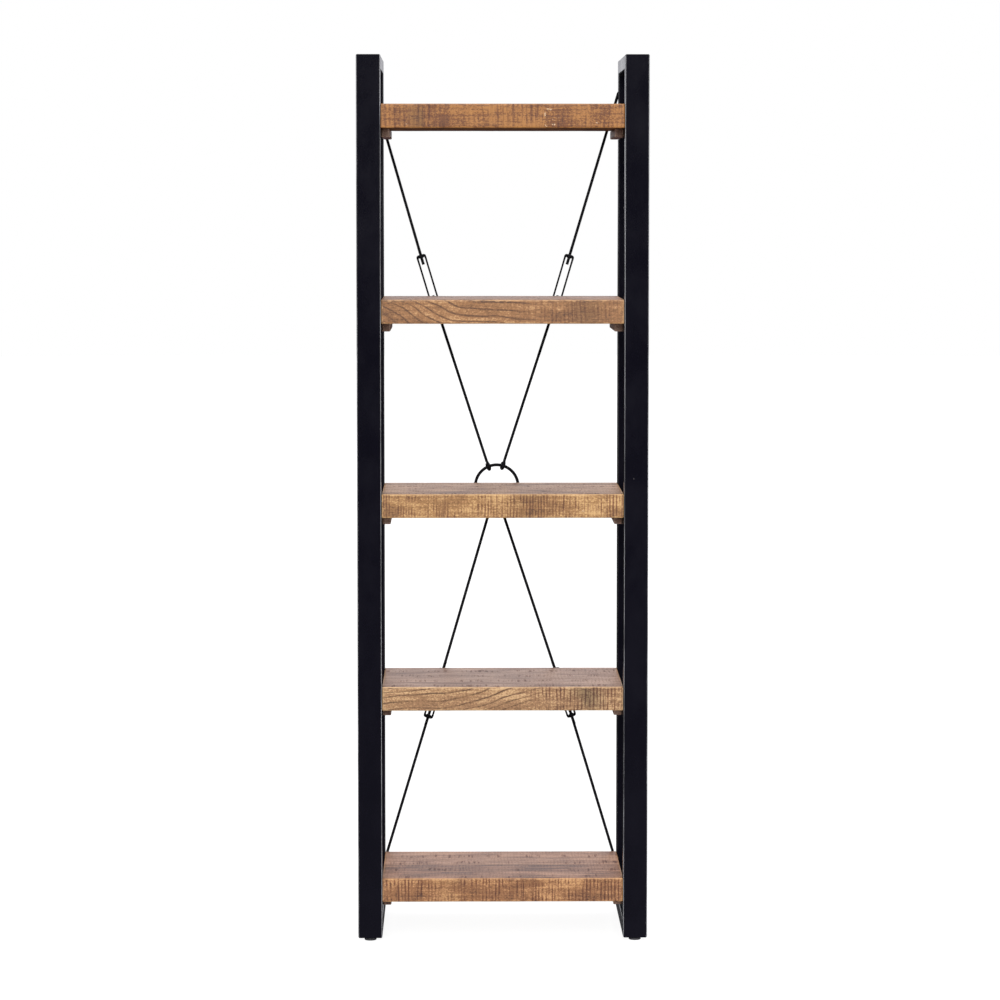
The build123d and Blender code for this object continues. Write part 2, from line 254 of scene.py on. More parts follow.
floor = flat_disc("floor", FLOOR_SIZE / 2)
paper, bench, shader = new_finish("pale_paper")
place = bench.node("ShaderNodeTexCoord").outputs["Object"]
tint = bench.blend(bench.noise(place), (0.14, 0.14, 0.14, 1), (0.15, 0.15, 0.15, 1))
bench.put(shader.inputs["Base Color"], tint)
shader.inputs["Roughness"].default_value = 0.9
shader.inputs["Specular IOR Level"].default_value = 0.0
shader.inputs["Emission Color"].default_value = (1, 1, 1, 1)
shader.inputs["Emission Strength"].default_value = 0.93
floor.data.materials.append(paper)
floor.visible_diffuse = floor.visible_glossy = False

dome = bpy.data.objects.new("dome", bpy.data.meshes.new("dome"))
shape = bmesh.new()
bmesh.ops.create_icosphere(shape, subdivisions=4, radius=FLOOR_SIZE / 2)
shape.to_mesh(dome.data)
shape.free()
scene.collection.objects.link(dome)
glow = bpy.data.materials.new("white_dome")
glow.use_nodes = True
glow.node_tree.nodes.remove(glow.node_tree.nodes["Principled BSDF"])
lit = glow.node_tree.nodes.new("ShaderNodeEmission")
glow.node_tree.links.new(lit.outputs[0], glow.node_tree.nodes["Material Output"].inputs[0])
dome.data.materials.append(glow)
dome.visible_diffuse = dome.visible_glossy = dome.visible_transmission = False
dome.visible_shadow = dome.visible_volume_scatter = False
print("room: floor", FLOOR_SIZE, "m across")

# %% [markdown]
# ## Rough-sawn mango wood
#
# Each board is glued from staves that run along its length. The band saw left fine upright ripples
# across the grain, darkest where the blade dwelt, and the lacquer over them is thin and matt. One
# node group draws all of this from the place on the board: staves from its depth, fibres stretched
# along its length, growth figure as tilted, bent bands, saw marks as wavering lines with gaps, and
# pale arrises where hands and boxes have rubbed. Each board then only needs its own numbers.

# %% Timber group: staves and fibres
TIMBER_TAKES = [
    ("Centre", VECTOR), ("Half", VECTOR), ("Seed", FLOAT), ("Stave", FLOAT), ("Clouds", VECTOR),
    ("Deep", COLOUR), ("Middle", COLOUR), ("Pale", COLOUR), ("Saw", FLOAT), ("Saw pitch", FLOAT),
    ("Saw from", FLOAT), ("Figure", FLOAT), ("Figure slope", FLOAT), ("Figure bend", FLOAT),
    ("Patch at", FLOAT), ("Patch", FLOAT), ("Chips at", FLOAT),
]
TIMBER_GIVES = [("Colour", COLOUR), ("Roughness", FLOAT), ("Height", FLOAT)]
timber, bench, takes, gives = new_tree("ShaderNodeTree", "sawn timber", TIMBER_TAKES, TIMBER_GIVES)
place = bench.node("ShaderNodeTexCoord").outputs["Object"]
normal = bench.node("ShaderNodeNewGeometry").outputs["Normal"]
facing = bench.split(bench.vector("ABSOLUTE", normal))
front_face = bench.ramp(facing[1], 0.6, 0.9)
level_face = bench.ramp(facing[2], 0.6, 0.9)
local = bench.vector("SUBTRACT", place, takes["Centre"])
along, across, up = bench.split(local)
half = bench.split(takes["Half"])
row = bench.math("DIVIDE", bench.math("ADD", across, bench.math("ADD", half[1], 0.002)), takes["Stave"])
stave = bench.node("ShaderNodeTexWhiteNoise", noise_dimensions="1D")
bench.put(stave.inputs["W"], bench.math("ADD", bench.math("FLOOR", row), takes["Seed"]))
own = bench.vector("ADD", local, bench.vector("MULTIPLY", stave.outputs["Color"], (2.3, 0.6, 0.7)))
fibre = bench.noise(bench.vector("MULTIPLY", own, (9, 230, 230)), 5.0, 0.62, takes["Seed"])
cloud = bench.noise(bench.vector("MULTIPLY", own, takes["Clouds"]), 3.0, 0.5, takes["Seed"])

# %% Timber group: growth figure
RING_GAP = 0.0120  # between growth lines on a board's face
bend = bench.math("MULTIPLY", takes["Figure bend"], bench.math("MULTIPLY", along, along))
rise = bench.math("ADD", bench.math("MULTIPLY", takes["Figure slope"], along), bend)
waver = bench.math("MULTIPLY", bench.noise(bench.vector("MULTIPLY", own, (5, 14, 14)), 2.0, 0.35), 0.065)
level = bench.math("ADD", bench.math("SUBTRACT", bench.math("ADD", up, across), rise), waver)
rings = bench.math("SINE", bench.math("MULTIPLY", level, 2 * math.pi / RING_GAP))
rings = bench.math("POWER", bench.math("MULTIPLY_ADD", rings, 0.5, 0.5), 9.0)
rings = bench.math("MULTIPLY", rings, bench.ramp(cloud, 0.30, 0.62, 0.15, 1.0))
sawn_part = bench.ramp(along, takes["Saw from"], bench.math("ADD", takes["Saw from"], 0.11))
figure = bench.math("MULTIPLY", rings, bench.math("MULTIPLY_ADD", sawn_part, -0.85, 1.0))
figure = bench.math("MULTIPLY", figure, takes["Figure"])
speckle = bench.noise(bench.vector("MULTIPLY", own, (260, 420, 420)), 3.0, 0.75, takes["Seed"])
tone = bench.math("MULTIPLY_ADD", fibre, 0.55, bench.math("MULTIPLY", cloud, 0.75))
tone = bench.math("MULTIPLY_ADD", bench.math("SUBTRACT", speckle, 0.5), 0.95, tone)
tone = bench.math("MULTIPLY_ADD", stave.outputs["Value"], 0.16, tone)
streaks = bench.math("MULTIPLY", level_face, bench.math("SUBTRACT", fibre, 0.5))
tone = bench.math("MULTIPLY_ADD", streaks, 0.7, tone)
tone = bench.math("MULTIPLY_ADD", figure, -0.40, tone)
colour = bench.blend(bench.ramp(tone, 0.40, 0.70), takes["Deep"], takes["Middle"])
colour = bench.blend(bench.ramp(tone, 0.68, 0.88), colour, takes["Pale"])

# %% Timber group: saw marks
squeeze = bench.math("DIVIDE", along, takes["Saw pitch"])
swing = bench.math("MULTIPLY", bench.noise(bench.vector("MULTIPLY", own, (16, 5, 5)), 2.0), 2.6)
own_across = bench.split(own)[1]
lines = bench.math("SINE", bench.math("MULTIPLY", bench.math("ADD", squeeze, swing), 2 * math.pi))
lines = bench.math("POWER", bench.math("MULTIPLY_ADD", lines, 0.5, 0.5), 1.8)
lift_at = bench.merge(squeeze, bench.math("MULTIPLY", own_across, 34), bench.math("MULTIPLY", up, 20))
lift = bench.ramp(bench.noise(lift_at, 2.0, 0.6, takes["Seed"]), 0.38, 0.54)
lines = bench.math("MULTIPLY", lines, lift)
thin_at = bench.vector("MULTIPLY", lift_at, (2.9, 0.9, 0.45))
thin = bench.ramp(bench.noise(thin_at, 2.0, 0.6, takes["Seed"]), 0.53, 0.66, 0.0, 0.75)
dwelt = bench.noise(bench.vector("MULTIPLY", own, (12, 34, 30)), 2.0, 0.6, takes["Seed"])
dwelt = bench.ramp(dwelt, 0.36, 0.56, 0.25, 1.0)
marks = bench.math("MULTIPLY", bench.math("MAXIMUM", lines, thin), dwelt)
marks = bench.math("MULTIPLY", marks, bench.math("MULTIPLY_ADD", sawn_part, 0.85, 0.15))

# %% Timber group: saw dashes, tops with a painted sheen, and chips
place_in_row = bench.math("FRACT", row)
stray = bench.noise(bench.vector("MULTIPLY", own, (45, 12, 12)), 2.0, 0.6, takes["Seed"])
in_row = bench.math("MULTIPLY_ADD", bench.math("SUBTRACT", stray, 0.5), 0.90, place_in_row)
row_band = bench.math("MULTIPLY", bench.ramp(in_row, 0.04, 0.16), bench.ramp(in_row, 0.54, 0.38))
gaps = bench.noise(bench.vector("MULTIPLY", own, (24, 5, 5)), 1.0, 0.5, takes["Seed"])
strokes = bench.noise(bench.vector("MULTIPLY", own, (210, 12, 12)), 2.0, 0.5, takes["Seed"])
strokes = bench.ramp(strokes, 0.49, 0.62)
dashes = bench.math("MULTIPLY", strokes, row_band)
dashes = bench.math("MULTIPLY", dashes, bench.ramp(gaps, 0.43, 0.52))
dashes = bench.math("MULTIPLY", dashes, level_face)
soft_top = bench.math("MULTIPLY_ADD", level_face, -0.7, 1.0)
marks = bench.math("MULTIPLY", bench.math("MULTIPLY", marks, soft_top), takes["Saw"])
marks = bench.math("MAXIMUM", marks, bench.math("MULTIPLY", dashes, 0.80))
colour = bench.blend(marks, colour, (0.30, 0.140, 0.075, 1), "MULTIPLY")
# Painted sheen: level faces, tops and undersides alike, get a cooler lilac tint in the base colour, standing
# in for the pale room reflected at a low angle.
colour = bench.blend(level_face, colour, (0.96, 0.94, 1.30, 1), "MULTIPLY")
fleck = bench.noise(bench.vector("MULTIPLY", own, (75, 115, 115)), 4.0, 0.65, takes["Seed"])
crowd = bench.math("ABSOLUTE", bench.math("SUBTRACT", along, takes["Chips at"]))
crowd = bench.ramp(crowd, 0.040, 0.020, 0.0, 0.085)
crowd = bench.math("MULTIPLY", crowd, front_face)
fleck = bench.ramp(bench.math("ADD", fleck, crowd), 0.70, 0.73, 0.0, 0.8)
colour = bench.blend(fleck, colour, (0.62, 0.45, 0.28, 1))

# %% Timber group: stained patch, glue lines, end grain and rubbed arrises
YEAR_GAP = 0.0032  # between year rings on the end grain
near = bench.math("ABSOLUTE", bench.math("SUBTRACT", along, takes["Patch at"]))
stain = bench.math("MULTIPLY", bench.ramp(near, 0.055, 0.0), takes["Patch"])
stain = bench.math("MULTIPLY", stain, bench.ramp(cloud, 0.35, 0.6))
stain = bench.math("MULTIPLY", stain, bench.math("SUBTRACT", 1.0, level_face))
colour = bench.blend(stain, colour, (0.46, 0.46, 0.42, 1), "MULTIPLY")
seam = bench.math("ABSOLUTE", bench.math("SUBTRACT", place_in_row, 0.5))
seam = bench.math("MULTIPLY", bench.ramp(seam, 0.487, 0.497), bench.ramp(facing[1], 0.5, 0.2))
colour = bench.blend(bench.math("MULTIPLY", seam, 0.6), colour, (0.30, 0.20, 0.14, 1), "MULTIPLY")
pith = bench.merge(0.0, bench.math("MULTIPLY", bench.math("SUBTRACT", place_in_row, 0.5), takes["Stave"]),
                   bench.math("ADD", up, 0.03))
year = bench.math("SINE", bench.math("MULTIPLY", bench.vector("LENGTH", pith), 2 * math.pi / YEAR_GAP))
end_grain = bench.math("MULTIPLY", bench.ramp(year, -0.4, 0.9), bench.ramp(facing[0], 0.6, 0.9))
colour = bench.blend(bench.math("MULTIPLY", end_grain, 0.5), colour, (0.45, 0.33, 0.25, 1), "MULTIPLY")
inset = bench.split(bench.vector("SUBTRACT", takes["Half"], bench.vector("ABSOLUTE", local)))
low_pair = bench.math("MINIMUM", inset[0], inset[1])
high_pair = bench.math("MAXIMUM", inset[0], inset[1])
to_arris = bench.math("MAXIMUM", low_pair, bench.math("MINIMUM", high_pair, inset[2]))
chips = bench.noise(bench.vector("MULTIPLY", local, (90, 90, 160)), 3.0, 0.6, takes["Seed"])
reach = bench.ramp(chips, 0.35, 0.75, 0.0006, 0.0048)
rubbed = bench.ramp(bench.math("SUBTRACT", to_arris, reach), 0.0012, -0.0004, 0.0, 0.55)
colour = bench.blend(rubbed, colour, takes["Pale"])
underneath = bench.ramp(bench.split(normal)[2], -0.6, -0.9)
rough = bench.math("MULTIPLY_ADD", underneath, 0.5, bench.math("MULTIPLY_ADD", fibre, -0.16, 0.53))
bench.put(gives.inputs["Colour"], colour)
bench.put(gives.inputs["Roughness"], bench.math("MULTIPLY_ADD", marks, 0.16, rough))
relief = bench.math("MULTIPLY_ADD", fibre, 0.35, bench.math("MULTIPLY", marks, -0.9))
bench.put(gives.inputs["Height"], bench.math("MULTIPLY_ADD", seam, -0.8, relief))
print("timber group:", len(timber.nodes), "nodes")

# %% [markdown]
# ### Each board's own numbers
#
# The five boards came from different logs. The top one is smooth and orange with broad upright
# clouds, the upper one has soft swooping figure, the middle one is sawn all over, the lower one has
# tilted figure that turns into saw marks and a grey-green stain, and the bottom one is ribbed from
# end to end.

# %% Timber finishes
ALL_OVER = -1  # saw marks from beyond the left end
NOWHERE = 9.0  # a place that isn't on any board
WOODS = {
    "top": {
        "Deep": (0.05, 0.012, 0.0016), "Middle": (0.138, 0.041, 0.0052), "Pale": (0.33, 0.14, 0.03),
        "Saw": 0.75, "Saw pitch": 0.01, "Saw from": ALL_OVER, "Stave": 0.107,
        "Figure": 0.25, "Figure slope": 0.05, "Figure bend": 0.1, "Clouds": (34, 10, 10),
        "Patch": 0.8, "Patch at": -0.17, "Chips at": 0.095,
    },
    "upper": {
        "Deep": (0.076, 0.029, 0.009), "Middle": (0.245, 0.11, 0.037), "Pale": (0.49, 0.28, 0.125),
        "Saw": 0.6, "Saw pitch": 0.0085, "Saw from": 0.0, "Stave": 0.08,
        "Figure": 0.8, "Figure slope": -0.1, "Figure bend": 0.7, "Clouds": (11, 30, 30),
        "Patch": 0.6, "Patch at": 0.17, "Chips at": NOWHERE,
    },
    "middle": {
        "Deep": (0.08, 0.031, 0.008), "Middle": (0.268, 0.13, 0.042), "Pale": (0.51, 0.31, 0.13),
        "Saw": 0.95, "Saw pitch": 0.0062, "Saw from": ALL_OVER, "Stave": 0.064,
        "Figure": 0.2, "Figure slope": 0.02, "Figure bend": 0.1, "Clouds": (14, 24, 24),
        "Patch": 0.4, "Patch at": 0.05, "Chips at": NOWHERE,
    },
    "lower": {
        "Deep": (0.074, 0.032, 0.0125), "Middle": (0.252, 0.13, 0.057), "Pale": (0.5, 0.32, 0.16),
        "Saw": 1.0, "Saw pitch": 0.0075, "Saw from": 0.0, "Stave": 0.08,
        "Figure": 1.0, "Figure slope": 0.34, "Figure bend": 0.5, "Clouds": (10, 22, 22),
        "Patch": 1.0, "Patch at": 0.175, "Chips at": NOWHERE,
    },
    "bottom": {
        "Deep": (0.058, 0.02, 0.006), "Middle": (0.238, 0.103, 0.038), "Pale": (0.47, 0.255, 0.108),
        "Saw": 1.0, "Saw pitch": 0.007, "Saw from": ALL_OVER, "Stave": 0.08,
        "Figure": 0.2, "Figure slope": -0.06, "Figure bend": 0.2, "Clouds": (12, 26, 26),
        "Patch": 0.3, "Patch at": -0.1, "Chips at": NOWHERE,
    },
}


def timber_finish(name, numbers, low, high, seed):
    """Lacquered timber for one board or batten, from its own numbers and its box."""
    finish, bench, shader = new_finish(name)
    group = bench.node("ShaderNodeGroup", node_tree=timber)
    for label, value in numbers.items():
        group.inputs[label].default_value = (*value, 1) if label in ("Deep", "Middle", "Pale") else value
    group.inputs["Centre"].default_value = (low + high) / 2
    group.inputs["Half"].default_value = (high - low) / 2
    group.inputs["Seed"].default_value = seed
    bench.put(shader.inputs["Base Color"], group.outputs["Colour"])
    bench.put(shader.inputs["Roughness"], group.outputs["Roughness"])
    shader.inputs["IOR"].default_value = 1.5
    bump = bench.node("ShaderNodeBump", {"Height": group.outputs["Height"]})
    bump.inputs["Strength"].default_value = 0.7
    bump.inputs["Distance"].default_value = 0.0005
    bench.put(shader.inputs["Normal"], bump.outputs[0])
    return finish


# %% [markdown]
# ## Making a piece with Geometry Nodes
#
# Anything that repeats or follows a rule is a small tree with named sizes. `grow` hands the sizes to
# the tree, lets Blender work it out once, keeps the plain mesh and throws the modifier away. The
# mesh then rides on its body and stands for the plain engineering shape.


# %% Grow
def grow(name, tree, sizes, body, stands_for=(), guide=None):
    """Runs a tree with its sizes, on a guide mesh if it has one, and keeps the plain mesh as a piece."""
    piece = bpy.data.objects.new(name, guide or bpy.data.meshes.new(name + "_seed"))
    scene.collection.objects.link(piece)
    step = piece.modifiers.new("build", "NODES")
    step.node_group = tree
    for item in tree.interface.items_tree:
        if item.in_out == "INPUT" and item.name in sizes:
            step[item.identifier] = sizes[item.name]
    mesh = bpy.data.meshes.new_from_object(piece.evaluated_get(bpy.context.evaluated_depsgraph_get()))
    piece.modifiers.remove(step)
    mesh.name = name
    piece.data = mesh
    return seat(piece, body, stands_for)


def seat(piece, body, stands_for=()):
    """Puts a finished piece on its body, in place of CAD nodes."""
    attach(piece, body)
    if stands_for:
        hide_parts(*stands_for)
    return piece


def finish_tree(bench, gives, shape, finish, smooth=True):
    """Ends a tree: real geometry, one finish, smooth or flat shading."""
    real = bench.node("GeometryNodeRealizeInstances", {0: shape}).outputs[0]
    shaded = bench.node("GeometryNodeSetShadeSmooth", {"Geometry": real, "Shade Smooth": smooth}).outputs[0]
    painted = bench.node("GeometryNodeSetMaterial", {"Geometry": shaded, "Material": finish}).outputs[0]
    bench.put(gives.inputs[0], painted)


def shelf_body(name):
    return f"{name}_shelf_set" if name in LOOSE else "frame"


# %% [markdown]
# ## Boards and battens
#
# A new board has crisp arrises, a used one doesn't: they are rounded, more in some places than in
# others, and here and there a splinter is gone. The tree starts from a gridded box, crowds its grid
# lines towards the edges, rolls the edges over by a radius that a noise varies, and lets the faces
# wander inwards by a few tenths of a millimetre, as sawn timber does. It never grows outwards.

# %% Sawn board tree
CROWDING = 0.003  # how close to the edges the grid lines gather
board_tree, bench, takes, gives = new_tree(
    "GeometryNodeTree", "sawn board",
    [("Size", VECTOR), ("Centre", VECTOR), ("Pitch", FLOAT), ("Arris", FLOAT), ("Chips", FLOAT),
     ("Wander", FLOAT), ("Seed", FLOAT), ("Finish", FINISH)],
    [("Board", SHAPE)],
)
pitch = bench.merge(takes["Pitch"], takes["Pitch"], takes["Pitch"])
cells = bench.split(bench.vector("DIVIDE", takes["Size"], pitch))
box = bench.node("GeometryNodeMeshCube", {"Size": takes["Size"]})
for axis, label in enumerate(("Vertices X", "Vertices Y", "Vertices Z")):
    bench.put(box.inputs[label], bench.math("ADD", bench.math("CEIL", cells[axis]), 3.0))
spot = bench.node("GeometryNodeInputPosition").outputs[0]
sign = bench.vector("SIGN", spot)
half = bench.vector("MULTIPLY", takes["Size"], (0.5, 0.5, 0.5))
depth = bench.vector("SUBTRACT", half, bench.vector("ABSOLUTE", spot))
crowd = bench.vector("MULTIPLY", depth, depth)
crowd = bench.vector("DIVIDE", crowd, bench.vector("ADD", depth, (CROWDING, CROWDING, CROWDING)))
corner = bench.vector("SUBTRACT", half, crowd)
splinter = bench.noise(bench.vector("MULTIPLY", spot, (55, 55, 90)), 3.0, 0.6, takes["Seed"])
roll = bench.math("MULTIPLY_ADD", bench.ramp(splinter, 0.56, 0.80), takes["Chips"], takes["Arris"])
core = bench.vector("MINIMUM", corner, bench.vector("SUBTRACT", half, bench.merge(roll, roll, roll)))
outward = bench.vector("NORMALIZE", bench.vector("SUBTRACT", corner, core))
drift = bench.noise(bench.vector("MULTIPLY", spot, (14, 40, 40)), 2.0, 0.5, takes["Seed"])
reach = bench.math("SUBTRACT", roll, bench.math("MULTIPLY", drift, takes["Wander"]))
rolled = bench.vector("ADD", core, bench.vector("MULTIPLY", outward, bench.merge(reach, reach, reach)))
placed = bench.vector("ADD", bench.vector("MULTIPLY", rolled, sign), takes["Centre"])
moved = bench.node("GeometryNodeSetPosition", {"Geometry": box.outputs["Mesh"], "Position": placed})
finish_tree(bench, gives, moved.outputs[0], takes["Finish"])

# %% Boards
GRID_PITCH = 0.004  # before the grid lines crowd to the edges
for number, name in enumerate(SHELVES):
    low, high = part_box(f"{name}_shelf")
    finish = timber_finish(f"{name}_board_timber", WOODS[name], low, high, 3.7 * number + 1.3)
    board = grow(
        f"{name}_board", board_tree,
        {"Size": high - low, "Centre": (low + high) / 2, "Pitch": GRID_PITCH, "Arris": 0.0016,
         "Chips": 0.0028, "Wander": 0.0006, "Seed": 2.1 * number + 0.4, "Finish": finish},
        shelf_body(name), (f"{name}_shelf",),
    )
    print(board.name, len(board.data.polygons), "faces")

# %% Battens
BATTEN_WOOD = {
    "Deep": (0.1, 0.05, 0.03), "Middle": (0.24, 0.13, 0.085), "Pale": (0.38, 0.24, 0.17),
    "Saw": 0.5, "Saw pitch": 0.006, "Saw from": ALL_OVER, "Stave": 0.5,
    "Figure": 0.3, "Figure slope": 0.05, "Figure bend": 0.2, "Clouds": (22, 12, 30),
    "Patch": 0.0, "Patch at": 0.0, "Chips at": NOWHERE,
}
for number, name in enumerate(SHELVES):
    for side in SIDES:
        node = f"{name}_{side}_batten"
        low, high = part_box(node)
        finish = timber_finish(f"{node}_timber", BATTEN_WOOD, low, high, 1.9 * number + len(side))
        grow(
            f"{node}_strip", board_tree,
            {"Size": high - low, "Centre": (low + high) / 2, "Pitch": GRID_PITCH, "Arris": 0.0026,
             "Chips": 0.003, "Wander": 0.0005, "Seed": 1.7 * number + len(side), "Finish": finish},
            shelf_body(name), (node,),
        )
print("battens:", 2 * len(SHELVES))

# %% [markdown]
# ## Black powder coat
#
# The steel is sprayed and baked. Close up the coat has a very fine ripple, its gloss changes a little
# from place to place, and a few chips show bare steel. The front arrises carry a painted highlight:
# grey in the base colour, broken up by noise, standing in for light caught on their rounded corners.
# A low base colour alone looks like a hole in the picture; the ripple and the uneven gloss are what
# make it read as paint. Where posts and rails meet at 45 degrees, the ground weld leaves a faint
# line in the coat.

# %% Black powder coat
FOOT_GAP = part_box("left_bottom_rail")[0].z
MITRE_REACH = 0.031  # just past the depth of a post
paint, bench, shader = new_finish("black_powder_coat")
place = bench.node("ShaderNodeTexCoord").outputs["Object"]
patches = bench.noise(bench.vector("MULTIPLY", place, (14, 14, 9)), 3.0, 0.6, 4.0)
ripple = bench.noise(bench.vector("MULTIPLY", place, (900, 900, 900)), 2.0, 0.5, 1.0)
dust = bench.noise(bench.vector("MULTIPLY", place, (260, 260, 260)), 2.0, 0.6, 8.0)
coat = bench.blend(bench.ramp(patches, 0.35, 0.7), (0.0024, 0.0022, 0.0050, 1), (0.0034, 0.0031, 0.0064, 1))
coat = bench.blend(bench.ramp(dust, 0.66, 0.80, 0.0, 0.12), coat, (0.035, 0.034, 0.040, 1))
chip = bench.noise(bench.vector("MULTIPLY", place, (120, 120, 120)), 3.0, 0.5, 12.0)
chip = bench.ramp(chip, 0.745, 0.76)
coat = bench.blend(chip, coat, (0.16, 0.15, 0.15, 1))
facing = bench.split(bench.vector("ABSOLUTE", bench.node("ShaderNodeNewGeometry").outputs["Normal"]))
# Painted highlight: the rounded upright arrises are lightened grey in the base colour, strong towards the
# front of the piece and faint towards the back, in place of light caught there.
painted_arris_highlight = bench.noise(bench.vector("MULTIPLY", place, (60, 60, 5)), 3.0, 0.6, 9.0)
on_arris = bench.ramp(bench.math("MULTIPLY", facing[0], facing[1]), 0.40, 0.47)
painted_arris_highlight = bench.math("MULTIPLY", bench.ramp(painted_arris_highlight, 0.36, 0.60, 0.25, 1.0), on_arris)
painted_arris_highlight = bench.math("MULTIPLY", painted_arris_highlight, bench.ramp(bench.split(place)[1], 0.0, -0.1, 0.12, 1.0))
coat = bench.blend(painted_arris_highlight, coat, (0.26, 0.26, 0.27, 1))
bench.put(shader.inputs["Base Color"], coat)
bench.put(shader.inputs["Roughness"], bench.ramp(patches, 0.3, 0.75, 0.19, 0.26))
shader.inputs["IOR"].default_value = 1.5
shader.inputs["Specular IOR Level"].default_value = 0.13
side, depth, height = bench.split(bench.vector("ABSOLUTE", place))
edge = bench.math("SUBTRACT", CAD_BOX[1].y, depth)
low_edge = bench.math("SUBTRACT", height, FOOT_GAP)
high_edge = bench.math("SUBTRACT", CAD_BOX[1].z, height)
mitre = bench.math("SUBTRACT", edge, bench.math("MINIMUM", low_edge, high_edge))
mitre = bench.ramp(bench.math("ABSOLUTE", mitre), 0.0011, 0.0002)
mitre = bench.math("MULTIPLY", mitre, bench.math("LESS_THAN", edge, MITRE_REACH))
relief = bench.math("MULTIPLY_ADD", chip, -1.5, ripple)
relief = bench.math("MULTIPLY_ADD", mitre, -3.0, relief)
bump = bench.node("ShaderNodeBump", {"Height": relief})
bump.inputs["Strength"].default_value = 0.25
bump.inputs["Distance"].default_value = 0.0001
bench.put(shader.inputs["Normal"], bump.outputs[0])

# %% [markdown]
# ## Dipped black on the rods
#
# The rods, the ring and the turnbuckles are dipped rather than sprayed. Their black is flatter than
# the frames', so a thin rod stays dark right to its edges in front of a bright wall, with only a faint
# streak of light along it.

# %% Dipped black
dip, bench, shader = new_finish("dipped_black")
place = bench.node("ShaderNodeTexCoord").outputs["Object"]
drips = bench.noise(bench.vector("MULTIPLY", place, (160, 160, 60)), 3.0, 0.6, 6.0)
black = bench.blend(drips, (0.0014, 0.0014, 0.0024, 1), (0.0052, 0.0050, 0.0068, 1))
bench.put(shader.inputs["Base Color"], black)
bench.put(shader.inputs["Roughness"], bench.ramp(drips, 0.3, 0.7, 0.50, 0.66))
shader.inputs["IOR"].default_value = 1.16
bump = bench.node("ShaderNodeBump", {"Height": drips})
bump.inputs["Strength"].default_value = 0.3
bump.inputs["Distance"].default_value = 0.0002
bench.put(shader.inputs["Normal"], bump.outputs[0])

# %% [markdown]
# ## Zinc and nylon
#
# The nuts, pins and screws are zinc plated: a soft metal sheen, cloudy where the plating has dulled.
# The feet are moulded nylon, matt and very slightly grained.

# %% Zinc plate
zinc, bench, shader = new_finish("zinc_plate")
place = bench.node("ShaderNodeTexCoord").outputs["Object"]
clouds = bench.noise(bench.vector("MULTIPLY", place, (180, 180, 180)), 3.0, 0.6, 2.0)
scratches = bench.noise(bench.vector("MULTIPLY", place, (900, 250, 900)), 2.0, 0.5, 5.0)
bench.put(shader.inputs["Base Color"], bench.blend(clouds, (0.42, 0.42, 0.44, 1), (0.66, 0.65, 0.62, 1)))
shader.inputs["Metallic"].default_value = 1.0
bench.put(shader.inputs["Roughness"], bench.ramp(clouds, 0.3, 0.7, 0.26, 0.46))
bump = bench.node("ShaderNodeBump", {"Height": scratches})
bump.inputs["Strength"].default_value = 0.3
bump.inputs["Distance"].default_value = 0.00005
bench.put(shader.inputs["Normal"], bump.outputs[0])

# %% Moulded nylon
nylon, bench, shader = new_finish("moulded_nylon")
place = bench.node("ShaderNodeTexCoord").outputs["Object"]
grain = bench.noise(bench.vector("MULTIPLY", place, (1400, 1400, 1400)), 2.0, 0.5, 3.0)
scuff = bench.noise(bench.vector("MULTIPLY", place, (150, 150, 400)), 3.0, 0.6, 7.0)
black = bench.blend(bench.ramp(scuff, 0.5, 0.8), (0.0040, 0.0040, 0.0062, 1), (0.016, 0.016, 0.020, 1))
bench.put(shader.inputs["Base Color"], black)
bench.put(shader.inputs["Roughness"], bench.ramp(scuff, 0.3, 0.8, 0.48, 0.68))
bump = bench.node("ShaderNodeBump", {"Height": grain})
bump.inputs["Strength"].default_value = 0.35
bump.inputs["Distance"].default_value = 0.0001
bench.put(shader.inputs["Normal"], bump.outputs[0])

# %% Finishes on the engineering parts
FINISHES = {"black_steel": paint, "zinc_steel": zinc, "black_nylon": nylon}
painted = 0
for part in frame["record"]["subparts"]:
    finish = FINISHES.get(part["material_slot"])
    if part["node"].endswith("_rod") or part["node"] == "brace_ring":
        finish = dip
    if finish:
        node = frame["nodes"][part["node"]]
        node.data.materials.clear()
        node.data.materials.append(finish)
        painted += 1
print("finished", painted, "engineering parts")

# %% [markdown]
# ## Screws
#
# Ten pan-head screws hold each board to its steel. One screw is made inside the tree, a flattened
# ball with a cross cut into it over a core with a coarse thread, and it is set on each point of a
# guide mesh that says where the heads sit and which way they look. Every screw stops at its own
# angle, so a seeded random turn is added. The guide comes from the engineering screws themselves.

# %% Screw tree
HEAD_WIDE, HEAD_TALL, SCREW_LONG, SCREW_PITCH = 0.0095, 0.0032, 0.020, 0.0022
screw_tree, bench, takes, gives = new_tree(
    "GeometryNodeTree", "pan head screws",
    [("Guide", SHAPE), ("Head", FLOAT), ("Tall", FLOAT), ("Long", FLOAT), ("Pitch", FLOAT), ("Seed", COUNT),
     ("Finish", FINISH)],
    [("Screws", SHAPE)],
)


def moved(bench, shape, shift=(0, 0, 0), scale=(1, 1, 1), turn=(0, 0, 0)):
    return bench.node(
        "GeometryNodeTransform", {"Geometry": shape, "Translation": shift, "Scale": scale, "Rotation": turn}
    ).outputs[0]


def joined(bench, *shapes):
    made = bench.node("GeometryNodeJoinGeometry")
    for shape in shapes:
        bench.tree.links.new(shape, made.inputs[0])
    return made.outputs[0]


